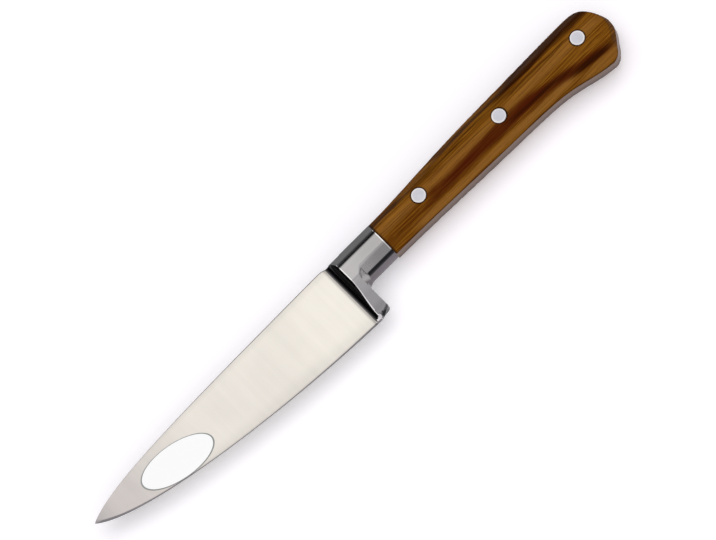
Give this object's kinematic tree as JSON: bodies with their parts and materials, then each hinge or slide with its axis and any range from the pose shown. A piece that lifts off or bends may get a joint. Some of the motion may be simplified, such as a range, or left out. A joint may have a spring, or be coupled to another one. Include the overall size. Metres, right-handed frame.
{
  "type": "paring knife",
  "caption": "Small forged kitchen knife with a pointed blade, full bolster, full tang, riveted wooden scales and a blank oval label.",
  "frame": {"origin": "under the middle of the whole knife's box, on the surface that the back scale lies on", "axes": "+X from the tip of the blade to the butt, +Y from the cutting edge to the spine, +Z out of the side that carries the label"},
  "size_m": [0.2044, 0.025, 0.013],
  "materials": {
    "blade_steel": "satin ground stainless steel",
    "handle_wood": "oiled, satin",
    "rivet_steel": "ground flush and polished",
    "label_paper": "matt printed paper, blank"
  },
  "bodies": {
    "root": {"forged_blade": "blade_steel", "front_scale": "handle_wood", "back_scale": "handle_wood", "bolster_rivet": "rivet_steel", "middle_rivet": "rivet_steel", "butt_rivet": "rivet_steel", "oval_label": "label_paper"}
  },
  "joints": []
}
